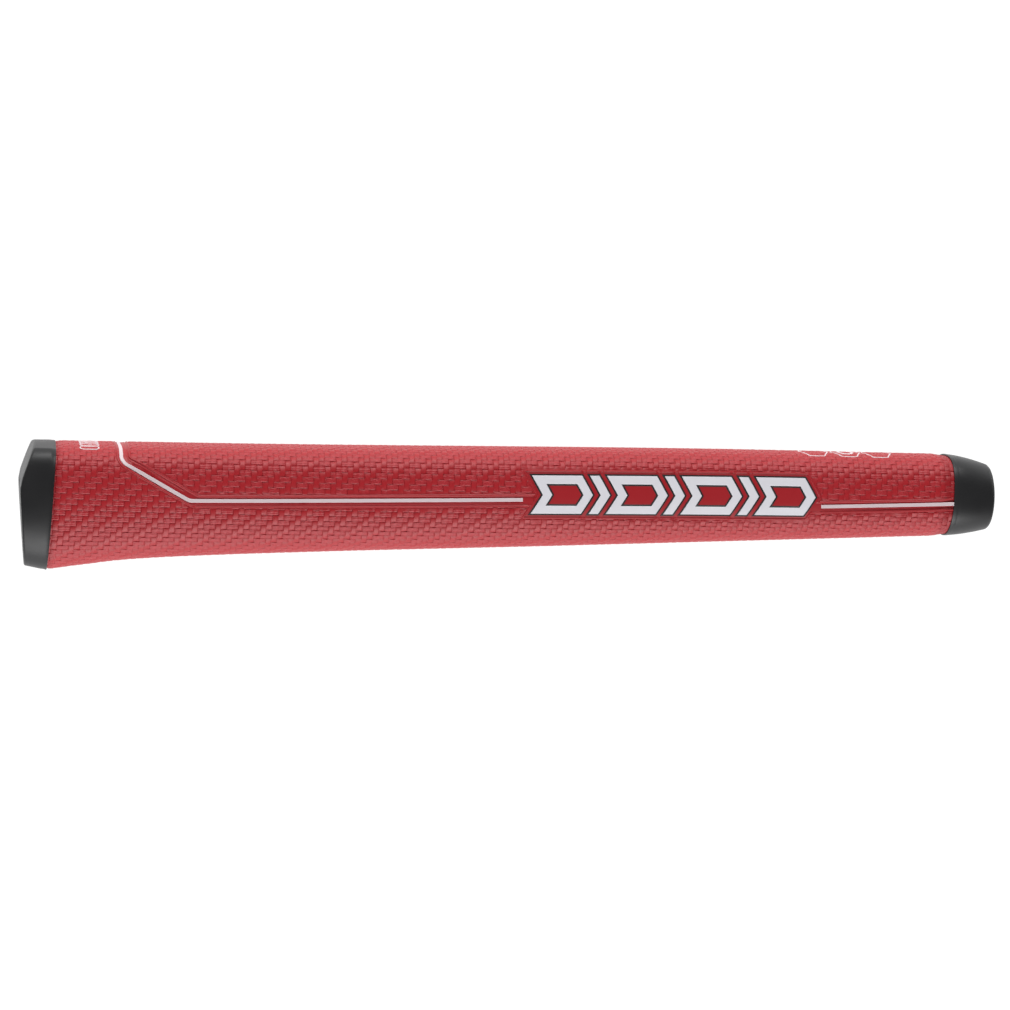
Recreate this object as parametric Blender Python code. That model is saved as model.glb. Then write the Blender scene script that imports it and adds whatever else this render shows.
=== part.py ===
"""Pistol putter grip: a moulded skin and its felt backing over a foam sleeve, with a rubber cap and collar.

The grip lies on its side. +X runs along the shaft bore from the butt to the mouth, +Y points to the flat front
where the thumbs rest, and +Z is up. The origin is the centre of the bottom of the bounding box.
Every piece is a chain of rings about the bore axis, so a position is first given as u, the distance from the
butt, and (y, z), the offset from the bore axis. All lengths are in metres.
"""

import math

import bmesh
import bpy

# Driving dimensions
LENGTH = 0.267
BUTT_JOINT = 0.00875  # where the skin meets the butt cap, on the bore axis
BUTT_LEAN = 0.054  # that joint leans towards the mouth at the front, as a tangent
MOUTH_JOINT = 0.2548  # where the skin meets the mouth collar

WIDTH_MOUTH = 0.0110  # half-width at the mouth joint
WIDTH_TAPER = 0.0115
WIDTH_FLARE = 0.0004
FRONT_BUTT = 0.0112  # from the bore axis to the flat front
FRONT_RISE = 0.00075
FRONT_RISE_FROM = 0.050
FRONT_RISE_TO = 0.190
BACK_MOUTH = 0.01065  # from the bore axis to the round back
BACK_TAPER = 0.0389
BACK_FLARE = 0.0029  # the pistol swell at the butt
FLARE_LENGTH = 0.015
FRONT_POWER_BUTT = 3.2  # the front half is a superellipse of this power, the back half an ellipse
FRONT_POWER_DROP = 0.4

SKIN = 0.0009
FELT = 0.0008
GAP = 0.0003  # between pieces that touch

BORE_BUTT = 0.0074  # bore radius for a shaft of 0.580 inch
BORE_MOUTH = 0.0066
VENT = 0.0015  # radius of the vent hole

CAP_PROUD = 0.0004  # how far the cap's lip stands outside the skin
CAP_LIP = 0.0016  # length of the stretch that flares out to the lip
CAP_RIM = 0.0006  # rounding of the edge of the end face
CAP_FRONT_SLOPE = 0.33  # the end face is two facets that meet in a soft ridge across the axis
CAP_BACK_SLOPE = 0.074
CAP_RIDGE = 0.0015
CAP_STOP = 0.0055  # the inner face that the end of the shaft rests on
SPIGOT = 0.0092
SPIGOT_END = 0.0170

MOUTH = 0.0090  # outer radius of the mouth
MOUTH_ROUND = 0.0008
COLLAR_PROUD = 0.0002
COLLAR_BULGE = 1.5  # power of the collar's taper: 1 is a straight cone
NOSE = 0.0079  # radius of the sleeve's nose inside the collar
NOSE_END = 0.2620

AROUND = 40
STATIONS = 16
STATION_POWER = 1.6  # above 1, stations crowd towards the butt, where the back flares
LEAN_FADE = 0.040  # the butt joint's lean has died out at this distance from it

# The bounding box is set by the cap's lip behind and at the sides and by the skin's highest stretch in front
BORE_Y = (BACK_MOUTH + BACK_TAPER * (MOUTH_JOINT - BUTT_JOINT) + BACK_FLARE + CAP_PROUD
          - FRONT_BUTT - FRONT_RISE) / 2
BORE_Z = WIDTH_MOUTH + WIDTH_TAPER * (MOUTH_JOINT - BUTT_JOINT) + WIDTH_FLARE + CAP_PROUD


def clear_scene():
    for obj in list(bpy.data.objects):
        bpy.data.objects.remove(obj)


def smoothstep(x):
    x = min(max(x, 0.0), 1.0)
    return x * x * (3 - 2 * x)


def flare(u):
    return math.exp(-max(u - BUTT_JOINT, 0.0) / FLARE_LENGTH)


def half_width(u):
    return WIDTH_MOUTH + WIDTH_TAPER * (MOUTH_JOINT - u) + WIDTH_FLARE * flare(u)


def front(u):
    return FRONT_BUTT + FRONT_RISE * smoothstep((u - FRONT_RISE_FROM) / (FRONT_RISE_TO - FRONT_RISE_FROM))


def back(u):
    return BACK_MOUTH + BACK_TAPER * (MOUTH_JOINT - u) + BACK_FLARE * flare(u)


def front_power(u):
    return FRONT_POWER_BUTT - FRONT_POWER_DROP * u / LENGTH


def end_face(y):
    """How far the end face lies from the apex at height y."""
    slope = CAP_FRONT_SLOPE if y > 0 else CAP_BACK_SLOPE
    return slope * (math.hypot(y, CAP_RIDGE) - CAP_RIDGE)


def outline(width, to_front, to_back, power):
    """One turn of (y, z) points: a superellipse in front of the bore axis and an ellipse behind it."""
    points = []
    for i in range(AROUND):
        angle = 2 * math.pi * i / AROUND
        c, s = math.cos(angle), math.sin(angle)
        if s > 0:
            y = to_front * s ** (2 / power)
            z = width * math.copysign(abs(c) ** (2 / power), c)
        else:
            y = to_back * s
            z = width * c
        points.append((y, z))
    return points


def circle(radius):
    return outline(radius, radius, radius, 2)


def body_outline(u, inset=0.0):
    return outline(half_width(u) - inset, front(u) - inset, back(u) - inset, front_power(u))


def ring(points, along):
    """The points of an outline in the grip's frame. along is u, or a function that gives u from y."""
    placed = []
    for y, z in points:
        u = along(y) if callable(along) else along
        placed.append((u - LENGTH / 2, y + BORE_Y, z + BORE_Z))
    return placed


def leaning(u):
    """Positions along a section at u: it leans as the butt joint does, less and less away from it."""
    fade = max(0.0, 1 - (u - BUTT_JOINT) / LEAN_FADE)
    return lambda y: u + BUTT_LEAN * fade * y


def body_ring(u, inset=0.0):
    return ring(body_outline(u, inset), leaning(u))


def stations():
    """Sections from the butt joint to the mouth joint, closer together near the butt."""
    start, end = BUTT_JOINT + GAP, MOUTH_JOINT - GAP
    return [start + (end - start) * (i / STATIONS) ** STATION_POWER for i in range(STATIONS + 1)]


def material(name, colour, roughness):
    made = bpy.data.materials.new(name)
    made.use_nodes = True
    shader = made.node_tree.nodes["Principled BSDF"]
    shader.inputs["Base Color"].default_value = (*colour, 1)
    shader.inputs["Roughness"].default_value = roughness
    shader.inputs["Metallic"].default_value = 0
    return made


def solid(name, rings, surface):
    """One closed solid whose surface runs through the rings in turn and back to the first."""
    bm = bmesh.new()
    loops = [[bm.verts.new(point) for point in points] for points in rings]
    for loop, following in zip(loops, loops[1:] + loops[:1]):
        for i in range(AROUND):
            j = (i + 1) % AROUND
            bm.faces.new((loop[i], loop[j], following[j], following[i]))
    bmesh.ops.recalc_face_normals(bm, faces=bm.faces)
    mesh = bpy.data.meshes.new(name)
    bm.to_mesh(mesh)
    bm.free()
    mesh.shade_smooth()
    mesh.set_sharp_from_angle(angle=math.radians(35))
    mesh.materials.append(surface)
    made = bpy.data.objects.new(name, mesh)
    bpy.context.scene.collection.objects.link(made)
    return made


def layer(name, outer, inner, surface):
    """A layer of the wall that runs the length of the skin, between two depths below the grip's surface."""
    rings = [body_ring(u, outer) for u in stations()]
    rings += [body_ring(u, inner) for u in reversed(stations())]
    return solid(name, rings, surface)


def pu_skin():
    """The outer layer. Its last edge turns in to meet the collar."""
    turn_in = SKIN / 2
    rings = [body_ring(u) for u in stations()[:-1]]
    rings.append(body_ring(MOUTH_JOINT - 2 * SKIN))
    rings.append(body_ring(MOUTH_JOINT - GAP, turn_in))
    rings += [body_ring(u, SKIN) for u in reversed(stations())]
    return solid("pu_skin", rings, material("red polyurethane", (0.38, 0.03, 0.035), 0.45))


def felt_backing():
    outer = SKIN + GAP
    return layer("felt_backing", outer, outer + FELT, material("felt", (0.55, 0.53, 0.50), 0.95))


def core_sleeve():
    """The foam sleeve, with a counterbore for the cap's spigot and a nose that fits in the collar."""
    depth = SKIN + FELT + 2 * GAP
    step = SPIGOT_END + GAP
    rings = [body_ring(u, depth) for u in stations()]
    rings.append(ring(circle(NOSE), MOUTH_JOINT - GAP))
    rings.append(ring(circle(NOSE), NOSE_END))
    rings.append(ring(circle(BORE_MOUTH), NOSE_END))
    rings.append(ring(circle(BORE_BUTT), step))
    rings.append(ring(circle(SPIGOT + GAP), step))
    rings.append(ring(circle(SPIGOT + GAP), leaning(BUTT_JOINT + GAP)))
    return solid("core_sleeve", rings, material("grey foam", (0.08, 0.08, 0.085), 0.9))


def butt_cap():
    """The end cap: a lip that meets the skin, a faceted end face, a vent hole, a shaft stop and a spigot."""
    lip = body_outline(BUTT_JOINT, -CAP_PROUD)
    side = body_outline(BUTT_JOINT, 0.0)
    rim = body_outline(BUTT_JOINT, CAP_PROUD)
    edge = body_outline(BUTT_JOINT, CAP_PROUD + CAP_RIM)
    joint = leaning(BUTT_JOINT)
    rings = [ring(lip, joint)]
    rings.append(ring(side, lambda y: joint(y) - CAP_LIP))
    rings.append(ring(rim, lambda y: end_face(y) + CAP_RIM))
    rings.append(ring(edge, end_face))
    for share in (0.75, 0.45):
        rings.append(ring([(y * share, z * share) for y, z in edge], end_face))
    rings.append(ring(circle(VENT), end_face))
    rings.append(ring(circle(VENT), CAP_STOP))
    rings.append(ring(circle(BORE_BUTT), CAP_STOP))
    rings.append(ring(circle(BORE_BUTT), SPIGOT_END))
    rings.append(ring(circle(SPIGOT), SPIGOT_END))
    rings.append(ring(circle(SPIGOT), joint))
    return solid("butt_cap", rings, material("black rubber", (0.03, 0.03, 0.032), 0.55))


def collar_outline(u):
    """The collar's outside: the grip's section at the joint, blending to a circle at the mouth."""
    share = ((u - MOUTH_JOINT) / (LENGTH - MOUTH_JOINT)) ** COLLAR_BULGE
    at_joint = (half_width(MOUTH_JOINT) + COLLAR_PROUD, front(MOUTH_JOINT) - COLLAR_PROUD,
                back(MOUTH_JOINT) + COLLAR_PROUD, front_power(MOUTH_JOINT))
    at_mouth = (MOUTH, MOUTH, MOUTH, 2)
    return outline(*(a + (b - a) * share for a, b in zip(at_joint, at_mouth)))


def mouth_collar():
    """The rubber collar: it takes the sleeve's nose and narrows to the round mouth of the bore."""
    step = NOSE_END + GAP
    steps = 5
    last = LENGTH - MOUTH_ROUND
    rings = []
    for i in range(steps + 1):
        u = MOUTH_JOINT + (last - MOUTH_JOINT) * i / steps
        rings.append(ring(collar_outline(u), u))
    rings.append(ring(circle(MOUTH - MOUTH_ROUND), LENGTH))
    rings.append(ring(circle(BORE_MOUTH), LENGTH))
    rings.append(ring(circle(BORE_MOUTH), step))
    rings.append(ring(circle(NOSE + GAP), step))
    rings.append(ring(circle(NOSE + GAP), MOUTH_JOINT))
    return solid("mouth_collar", rings, material("black rubber", (0.03, 0.03, 0.032), 0.55))


clear_scene()
core_sleeve()
felt_backing()
pu_skin()
butt_cap()
mouth_collar()
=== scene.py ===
"""Looks of the pistol putter grip: embossed skin, painted lines and emblem, rubber cap and collar.

The skin's surface is worked out unrolled. u runs along the bore from the butt, and v is the way round from
the front's centreline, positive on the side that faces up. Every relief and every paint layer is drawn in
(u, v) with a height above the surface, and Surface.lift places it in the frame. All lengths are in metres.
"""

import math

import bmesh
import bpy
import numpy as np
from mathutils import Matrix, Vector
from mathutils.geometry import delaunay_2d_cdt


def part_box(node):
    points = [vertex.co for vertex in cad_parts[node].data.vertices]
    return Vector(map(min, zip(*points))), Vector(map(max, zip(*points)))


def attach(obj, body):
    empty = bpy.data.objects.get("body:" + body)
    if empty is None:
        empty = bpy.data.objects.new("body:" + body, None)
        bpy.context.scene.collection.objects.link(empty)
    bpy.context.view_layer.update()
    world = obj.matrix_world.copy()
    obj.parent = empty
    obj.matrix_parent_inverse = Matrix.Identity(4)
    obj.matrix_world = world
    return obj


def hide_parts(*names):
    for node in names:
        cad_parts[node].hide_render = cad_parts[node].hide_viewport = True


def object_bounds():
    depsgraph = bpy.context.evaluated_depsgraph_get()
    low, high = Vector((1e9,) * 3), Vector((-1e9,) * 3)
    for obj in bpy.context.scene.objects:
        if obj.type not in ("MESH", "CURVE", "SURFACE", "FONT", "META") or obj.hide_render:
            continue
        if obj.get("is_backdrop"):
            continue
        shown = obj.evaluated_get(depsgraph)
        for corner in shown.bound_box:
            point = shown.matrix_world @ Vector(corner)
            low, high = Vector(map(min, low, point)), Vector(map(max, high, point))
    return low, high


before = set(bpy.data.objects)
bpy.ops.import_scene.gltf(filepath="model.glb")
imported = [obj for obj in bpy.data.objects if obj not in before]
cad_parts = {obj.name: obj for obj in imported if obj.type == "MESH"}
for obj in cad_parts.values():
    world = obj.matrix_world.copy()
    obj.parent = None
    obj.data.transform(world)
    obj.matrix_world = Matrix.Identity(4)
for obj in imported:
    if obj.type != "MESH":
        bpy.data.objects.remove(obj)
cad_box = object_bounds()

MM = 0.001

# The grip's surface, as the CAD model has it
LENGTH = 267 * MM
BUTT_JOINT = 8.75 * MM
BUTT_LEAN = 0.054
LEAN_FADE = 40 * MM
MOUTH_JOINT = 254.8 * MM
WIDTH_MOUTH = 11.0 * MM
WIDTH_TAPER = 0.0115
WIDTH_FLARE = 0.4 * MM
FRONT_BUTT = 11.2 * MM
FRONT_RISE = 0.75 * MM
FRONT_RISE_FROM = 50 * MM
FRONT_RISE_TO = 190 * MM
BACK_MOUTH = 10.65 * MM
BACK_TAPER = 0.0389
BACK_FLARE = 2.9 * MM
FLARE_LENGTH = 15 * MM
FRONT_POWER_BUTT = 3.2
FRONT_POWER_DROP = 0.4
SKIN = 0.9 * MM
GAP = 0.3 * MM
BORE_BUTT = 7.4 * MM
BORE_MOUTH = 6.6 * MM
VENT = 1.5 * MM
CAP_STOP = 5.5 * MM
SPIGOT = 9.2 * MM
SPIGOT_END = 17.0 * MM
NOSE = 7.9 * MM
NOSE_END = 262.0 * MM

# The bore's axis, from the boxes of the CAD nodes
BUTT_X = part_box("butt_cap")[0][0]
BORE_Z = (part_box("butt_cap")[0][2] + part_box("butt_cap")[1][2]) / 2
BORE_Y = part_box("pu_skin")[1][1] - FRONT_BUTT - FRONT_RISE

# Weave: a 2/2 twill pressed into the skin
CELL_U = 1.52 * MM
CELL_V = 1.50 * MM
BEVEL = 0.14  # width of a float's rounded edge, as a share of a cell
CELL_CUTS = (0.0, BEVEL, 1 - BEVEL)  # where each cell is sampled
ARCH = 0.11 * MM  # how far a float dives at its ends
SIDE_GROOVE = 0.025 * MM
END_GROOVE = 0.08 * MM
BACK_FADE = 0.3  # the twill is shallower at the back by this share
BACK_FADE_FROM = 0.65  # as shares of the way round from the front
BACK_FADE_TO = 0.95
CREST = 0.06 * MM  # how far the floats' crests stand outside the CAD surface
NUDGE = 0.01  # of a cell, to look at both sides of a groove
END_STEP = 0.2 * MM
SKIN_START = BUTT_JOINT + 0.02 * MM
SKIN_END = MOUTH_JOINT - 0.02 * MM
TURN_IN = 0.42 * MM  # how far the skin's edge goes in at the collar
TURN_IN_LENGTH = 4.0 * MM
BUTT_TURN_IN = 0.3 * MM  # and at the cap
BUTT_TURN_IN_LENGTH = 1.3 * MM
SHOULDER = 0.25 * MM  # the pistol swell is this much fuller at SHOULDER_AT than its plain curve
SHOULDER_AT = 18 * MM
SHOULDER_WIDTH = 7 * MM
BACK_FULLER = 0.2 * MM  # and the back is this much fuller from BELLY_TO on
BELLY_FROM = 80 * MM
BELLY_TO = 150 * MM
FRONT_FALL = 0.3 * MM  # the front falls away by this much before the collar
FRONT_FALL_FROM = 190 * MM

# Smooth recessed pads with a raised lip, in which the paint lies: (distance from the pad's edge, height)
PAD_FLOOR = -0.21 * MM
LIP_TOP = 0.05 * MM
PAD_LEVELS = (
    (-0.72 * MM, PAD_FLOOR),
    (-0.42 * MM, LIP_TOP),
    (-0.22 * MM, LIP_TOP),
    (-0.03 * MM, -0.10 * MM),
)
FLOOR_FROM = -0.9 * MM  # farther in than this, the floor gets points of its own
FLOOR_STRIDE = 2  # at every second line of the weave's grid
RIB_HALF = 0.2 * MM
RIB_CREST = 0.07 * MM
RIB_TOP = -0.13 * MM
SEAM_HALF = 0.35 * MM
SEAM_LEVELS = ((-SEAM_HALF, -0.40 * MM), (-0.03 * MM, -0.12 * MM))
KEEP_OUT = 0.12 * MM  # weave samples nearer than this to a pad are left out
SAME_HEIGHT = 0.03 * MM
CONTOUR_STEP = 0.45 * MM
PLANE_HALF = 45.0  # the unrolled skin's half-width while it is triangulated, in millimetres
PLANE_CLOSE = 1e-5  # points nearer than this there are one

# The painted line: along the sides, down the diagonals and over the front
LINE_HALF = 0.5 * MM
LINE_START = (134.3 * MM, 21.5 * MM)
LINE_CORNER = (44.6 * MM, 23.55 * MM)
LINE_BEND = (26.2 * MM, 13.5 * MM)
LINE_FRONT = (25.8 * MM, 0.0)
LINE_RADII = (2.5 * MM, 3.4 * MM, 9.0 * MM, 3.4 * MM, 2.5 * MM)
LINE_MOUTH_START = (217.2 * MM, 21.6 * MM)
LINE_MOUTH_END = (256.0 * MM, 19.8 * MM)
# Each stretch's distances to the channel's walls: the one nearer the mouth and the front, then the other
CHANNEL_IN = (1.65 * MM, 2.6 * MM, 2.5 * MM, 2.5 * MM, 2.6 * MM, 1.65 * MM)
CHANNEL_OUT = (2.1 * MM, 1.4 * MM, 1.4 * MM, 1.4 * MM, 1.4 * MM, 2.1 * MM)
CHANNEL_RUN_ON = 3.5 * MM  # how far the channel goes past the line's ends
RIB_IN = 1.5 * MM
RIB_OUT = 1.2 * MM

# The emblem: a row of arrow-shaped links with a chevron between each two
EMBLEM_START = 137.3 * MM
EMBLEM_HEIGHT = 10.6 * MM
EMBLEM_V = 20.08 * MM  # its middle at its start
EMBLEM_SLOPE = -0.0132
EMBLEM_LINKS = 4
LINK_WIDTH = 11.15 * MM  # between the middles of a link's two slanted strokes
LINK_GAP = 2.1 * MM
ARROW_RUN = 2.4 * MM
STROKE_HALF = 1.15 * MM
INK_EDGE = 0.48 * MM
PAD_MARGIN = 1.6 * MM
PAD_CORNER = 0.7 * MM
# Half the height between its level strokes, and a slanted stroke's width along x, as a share of its width
EMBLEM_RISE = EMBLEM_HEIGHT / 2 - STROKE_HALF
STROKE_SLANT = math.hypot(EMBLEM_RISE, ARROW_RUN) / EMBLEM_RISE

# Marks on the front: a row of small links near the butt and three hexagons near the mouth
BUTT_MARKS = 7
BUTT_MARK_PITCH = 2.6 * MM
BUTT_MARK_FROM = 15.2 * MM
BUTT_MARK_TO = 20.2 * MM
BUTT_MARK_SHARE = 0.43  # half a link's width, as a share of the pitch
BUTT_MARK_ROUND = 0.98  # its corners' radius, as a share of half its width
MOUTH_MARKS = (216.9 * MM, 226.0 * MM, 234.8 * MM)
MOUTH_MARK_LENGTH = 8.4 * MM
MOUTH_MARK_WIDTH = 11.3 * MM
MARK_HALF = 0.21 * MM

# Heights of the paint above the smooth surface
PAINT_TOP = -0.07 * MM
INK_TOP = -0.14 * MM
PAINT_BOTTOM = PAD_FLOOR - 0.1 * MM
PAINT_EDGE = 0.1 * MM
MARK_TOP = 0.09 * MM
PATH_STEP = 0.8 * MM
ARC_SHARE = 0.48  # a corner's arc takes at most this share of the stretches beside it

# The cap and the collar. Their outsides differ a little from the CAD ones.
ANGLES = np.linspace(0, 2 * math.pi, 144, endpoint=False)
CAP_FRONT_SLOPE = 0.37  # the end face is two facets that meet in a soft ridge across the axis
CAP_BACK_SLOPE = 0.074
CAP_RIDGE = 1.9 * MM
CAP_POWER = 4.2  # the cap's front half is squarer than the skin's
CREASE = math.radians(56)  # the front flat of the cap runs between this angle and its mirror image
CAP_CROWN = 1.4  # power of the flat's crown: 1 is a straight line from the middle to each crease
CAP_PROUD = 0.3 * MM  # how far the lip stands outside the skin at the sides
CAP_LIP = 1.6 * MM
CAP_RIM = 0.6 * MM
CAP_EDGE = 0.12 * MM
CAP_FRONT = 0.4 * MM  # the cap's front flat stands this far outside the skin
CAP_BACK = 0.75 * MM  # and its back, without the flare of its lip, lies this far inside it
CAP_SHALLOWER = 0.2 * MM  # and all of its back is this much less deep
VENT_ROUND = 0.35 * MM
COLLAR_BAND = 1.3 * MM
COLLAR_BAND_RISE = 0.04 * MM
COLLAR_BULGE = 1.6
MOUTH = 8.95 * MM
MOUTH_ROUND = 0.6 * MM
LIP_RINGS = 4
ROUND_RINGS = 4  # across the cap's rounded rim
FACE_SHARES = np.linspace(0.92, 0.24, 9)  # of the end face's outline
VENT_RINGS = 3  # across the small rounded edges of the holes
BAND_RINGS = 8
TAPER_START = 0.3 * MM  # after the collar's band
TAPER_RINGS = 16
MOUTH_RINGS = 5

# Finishes
FIBRES = 3.0  # fibre lines across one cell of the weave
FIBRE_SHARE = 0.65  # of the bump's height
GRAIN_SHARE = 0.6
ROUND_FIBRE_SHARE = 0.3  # fibre lines on the floats that run round the grip are this much lower
PAINTED_SHEEN_SHARE = 0.75  # how far the floats that run along the grip take the painted sheen colour
PAD_UNSHADED = 0.6  # painted shade on the pads and the skin's inside: 0 is as dark as the weave's grooves, 1 as light as its crests
SKIN_COLOUR = (0.385, 0.010, 0.016, 1)  # on the floats that run round the grip
SKIN_PATCH_AND_SHEEN = (0.402, 0.018, 0.026, 1)  # painted sheen on those that run along it; random patches too
# painted shade: the colour the skin takes in the weave's grooves, and in part on the pads
SKIN_PAINTED_SHADE = (0.30, 0.006, 0.011, 1)
RUBBER_DARK = (0.015, 0.015, 0.016, 1)
RUBBER_PALE = (0.023, 0.023, 0.024, 1)
LINE_INK = (0.69, 0.575, 0.60, 1)
WHITE_INK = (0.76, 0.75, 0.80, 1)
DARK_INK = (0.012, 0.010, 0.012, 1)
FOAM_COLOUR = (0.075, 0.075, 0.08, 1)
FELT_COLOUR = (0.5, 0.48, 0.45, 1)

# The mesh
INNER_STATIONS = 40
INNER_AROUND = 49
WELD = 1e-3 * MM
ON_RIM = 1e-4 * MM
SKIN_SHARP = 30  # degrees: edges that turn by more than this are shaded sharp
SOLID_SHARP = 35
SIDES = ((1, "upper"), (-1, "lower"))
SQUARE = ((-1, -1), (1, -1), (1, 1), (-1, 1))
HEXAGON = ((-1, 0), (-0.5, -1), (0.5, -1), (1, 0), (0.5, 1), (-0.5, 1))

# The studio: a white floor that glows, and two long softboxes beside the grip
FLOOR_HALF = 3.0
FLOOR_COLOUR = (0.15, 0.15, 0.15, 1)
FLOOR_GLOW = 0.95
WORLD_LIGHT = 0.06
SOFTBOX_SIZE = (1.2, 0.45)
SOFTBOX_AIM = (0, 0, 0.015)
SOFTBOXES = (
    ("softbox_front", (0.0, 0.89, 0.385), 12.7),
    ("softbox_back", (0.0, -0.90, 0.41), 13.9),
)

# The camera, where the photograph was taken from
LENS = 126.65
SENSOR = 36.0
CAMERA_AT = (-0.153751, 0.118343, 0.965154)
CAMERA_TO = (-0.0020724, 0.0016328, 0.0146296)
CAMERA_ROLL = math.radians(1.8846)


def smoothstep(x):
    x = np.clip(x, 0, 1)
    return x * x * (3 - 2 * x)


def unit(vectors):
    return vectors / np.linalg.norm(vectors, axis=-1, keepdims=True)


def flare(u):
    return np.exp(-np.maximum(u - BUTT_JOINT, 0) / FLARE_LENGTH)


def half_width(u):
    return WIDTH_MOUTH + WIDTH_TAPER * (MOUTH_JOINT - u) + WIDTH_FLARE * flare(u)


def front(u):
    rise = FRONT_RISE * smoothstep((u - FRONT_RISE_FROM) / (FRONT_RISE_TO - FRONT_RISE_FROM))
    fall = FRONT_FALL * smoothstep((u - FRONT_FALL_FROM) / (MOUTH_JOINT - FRONT_FALL_FROM))
    return FRONT_BUTT + rise - fall


def back(u):
    plain = BACK_MOUTH + BACK_TAPER * (MOUTH_JOINT - u) + BACK_FLARE * flare(u)
    shoulder = SHOULDER * np.exp(-((u - SHOULDER_AT) / SHOULDER_WIDTH) ** 2)
    return plain + shoulder + BACK_FULLER * smoothstep((u - BELLY_FROM) / (BELLY_TO - BELLY_FROM))


def front_power(u):
    return FRONT_POWER_BUTT - FRONT_POWER_DROP * u / LENGTH


def lean(u):
    return BUTT_LEAN * np.clip(1 - (u - BUTT_JOINT) / LEAN_FADE, 0, 1)


def place(u, y, z):
    """A point given by its distance from the butt and its offset from the bore axis, in the frame."""
    return np.stack([u + BUTT_X, y + BORE_Y, z + BORE_Z], -1)


def section(width, to_front, to_back, power, angle):
    """(y, z) at an angle: a superellipse in front of the bore axis and an ellipse behind it."""
    c, s = np.cos(angle), np.sin(angle)
    p = np.where(s > 0, 2 / power, 1.0)
    y = np.where(s > 0, to_front, to_back) * np.sign(s) * np.abs(s) ** p
    z = width * np.sign(c) * np.abs(c) ** p
    return y, z


class Surface:
    """The smooth outer surface, as a table over u and over the share of the half turn from the front."""

    ROWS = 268
    COLUMNS = 1201
    FINER = 4  # each section is first drawn in this many times more steps
    SHORT_OF_END = 1.001  # keeps a place inside the table's last step

    def __init__(self):
        self.u = np.linspace(0, LENGTH, self.ROWS)
        angle = math.pi / 2 - np.linspace(0, math.pi, self.FINER * self.COLUMNS)
        share = np.linspace(0, 1, self.COLUMNS)
        self.half_turn = np.empty(self.ROWS)
        self.point = np.empty((self.ROWS, self.COLUMNS, 3))
        for row, u in enumerate(self.u):
            y, z = section(half_width(u), front(u), back(u), front_power(u), angle)
            way = np.concatenate([[0], np.cumsum(np.hypot(np.diff(y), np.diff(z)))])
            self.half_turn[row] = way[-1]
            y = np.interp(share * way[-1], way, y)
            z = np.interp(share * way[-1], way, z)
            self.point[row] = place(u + lean(u) * y, y, z)
        self.normal = unit(np.cross(np.gradient(self.point, axis=1), np.gradient(self.point, axis=0)))
        self.normal[:, 0, 2] = 0
        self.normal[:, -1, 2] = 0

    def turn(self, u):
        """Half the way round at u."""
        return np.interp(u, self.u, self.half_turn)

    def lift(self, u, v, height):
        """Points at height above the surface."""
        u, v = np.asarray(u, float), np.asarray(v, float)
        row = np.clip(u / LENGTH * (self.ROWS - 1), 0, self.ROWS - self.SHORT_OF_END)
        way_round = np.abs(v) / self.turn(u)
        column = np.clip(way_round * (self.COLUMNS - 1), 0, self.COLUMNS - self.SHORT_OF_END)
        r, c = row.astype(int), column.astype(int)
        fr, fc = (row - r)[..., None], (column - c)[..., None]
        found = []
        for table in (self.point, self.normal):
            low = table[r, c] * (1 - fc) + table[r, c + 1] * fc
            high = table[r + 1, c] * (1 - fc) + table[r + 1, c + 1] * fc
            found.append(low * (1 - fr) + high * fr)
        points, normals = found
        side = np.where(v < 0, -1.0, 1.0)
        points[..., 2] = BORE_Z + (points[..., 2] - BORE_Z) * side
        normals[..., 2] *= side
        return points + normals * np.asarray(height)[..., None]


surface = Surface()


# Paths in the (u, v) plane


def rounded(points, radii, closed=False, steps=6):
    """The path with each corner replaced by an arc. radii is one radius, or one for each inner corner."""
    points = [np.array(p, float) for p in points]
    count = len(points)
    inner = range(count) if closed else range(1, count - 1)
    radii = dict(zip(inner, radii if np.iterable(radii) else [radii] * count))
    made = []
    for i, corner in enumerate(points):
        if i not in radii:
            made.append(corner)
            continue
        before, after = points[i - 1] - corner, points[(i + 1) % count] - corner
        a, b = unit(before), unit(after)
        half = math.acos(np.clip(a @ b, -1, 1)) / 2
        shorter = min(np.linalg.norm(before), np.linalg.norm(after))
        reach = min(radii[i] / math.tan(half), ARC_SHARE * shorter)
        centre = corner + unit(a + b) * reach / math.cos(half)
        start, end = corner + a * reach - centre, corner + b * reach - centre
        for k in range(steps + 1):
            spoke = start * (1 - k / steps) + end * k / steps
            made.append(centre + unit(spoke) * np.linalg.norm(start))
    return np.array(made)


def resampled(points, spacing, closed=False):
    """The path with its long stretches divided and its own points kept. Columns after u and v come along."""
    points = np.asarray(points, float)
    following = np.roll(points, -1, axis=0) if closed else points[1:]
    made = []
    for a, b in zip(points, following):
        pieces = max(1, math.ceil(np.linalg.norm((b - a)[:2]) / spacing - 0.01))
        made += [a + (b - a) * k / pieces for k in range(pieces)]
    if not closed:
        made.append(points[-1])
    return np.array(made)


def to_left(steps):
    return unit(np.stack([-steps[:, 1], steps[:, 0]], -1))


def across(points, closed=False):
    """At each point, the vector that moves a parallel path by a unit to the left."""
    points = np.asarray(points, float)
    if closed:
        before, after = points - np.roll(points, 1, axis=0), np.roll(points, -1, axis=0) - points
    else:
        steps = np.diff(points, axis=0)
        before, after = np.vstack([steps[:1], steps]), np.vstack([steps, steps[-1:]])
    total = to_left(before) + to_left(after)
    return 2 * total / (total ** 2).sum(1, keepdims=True)


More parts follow.
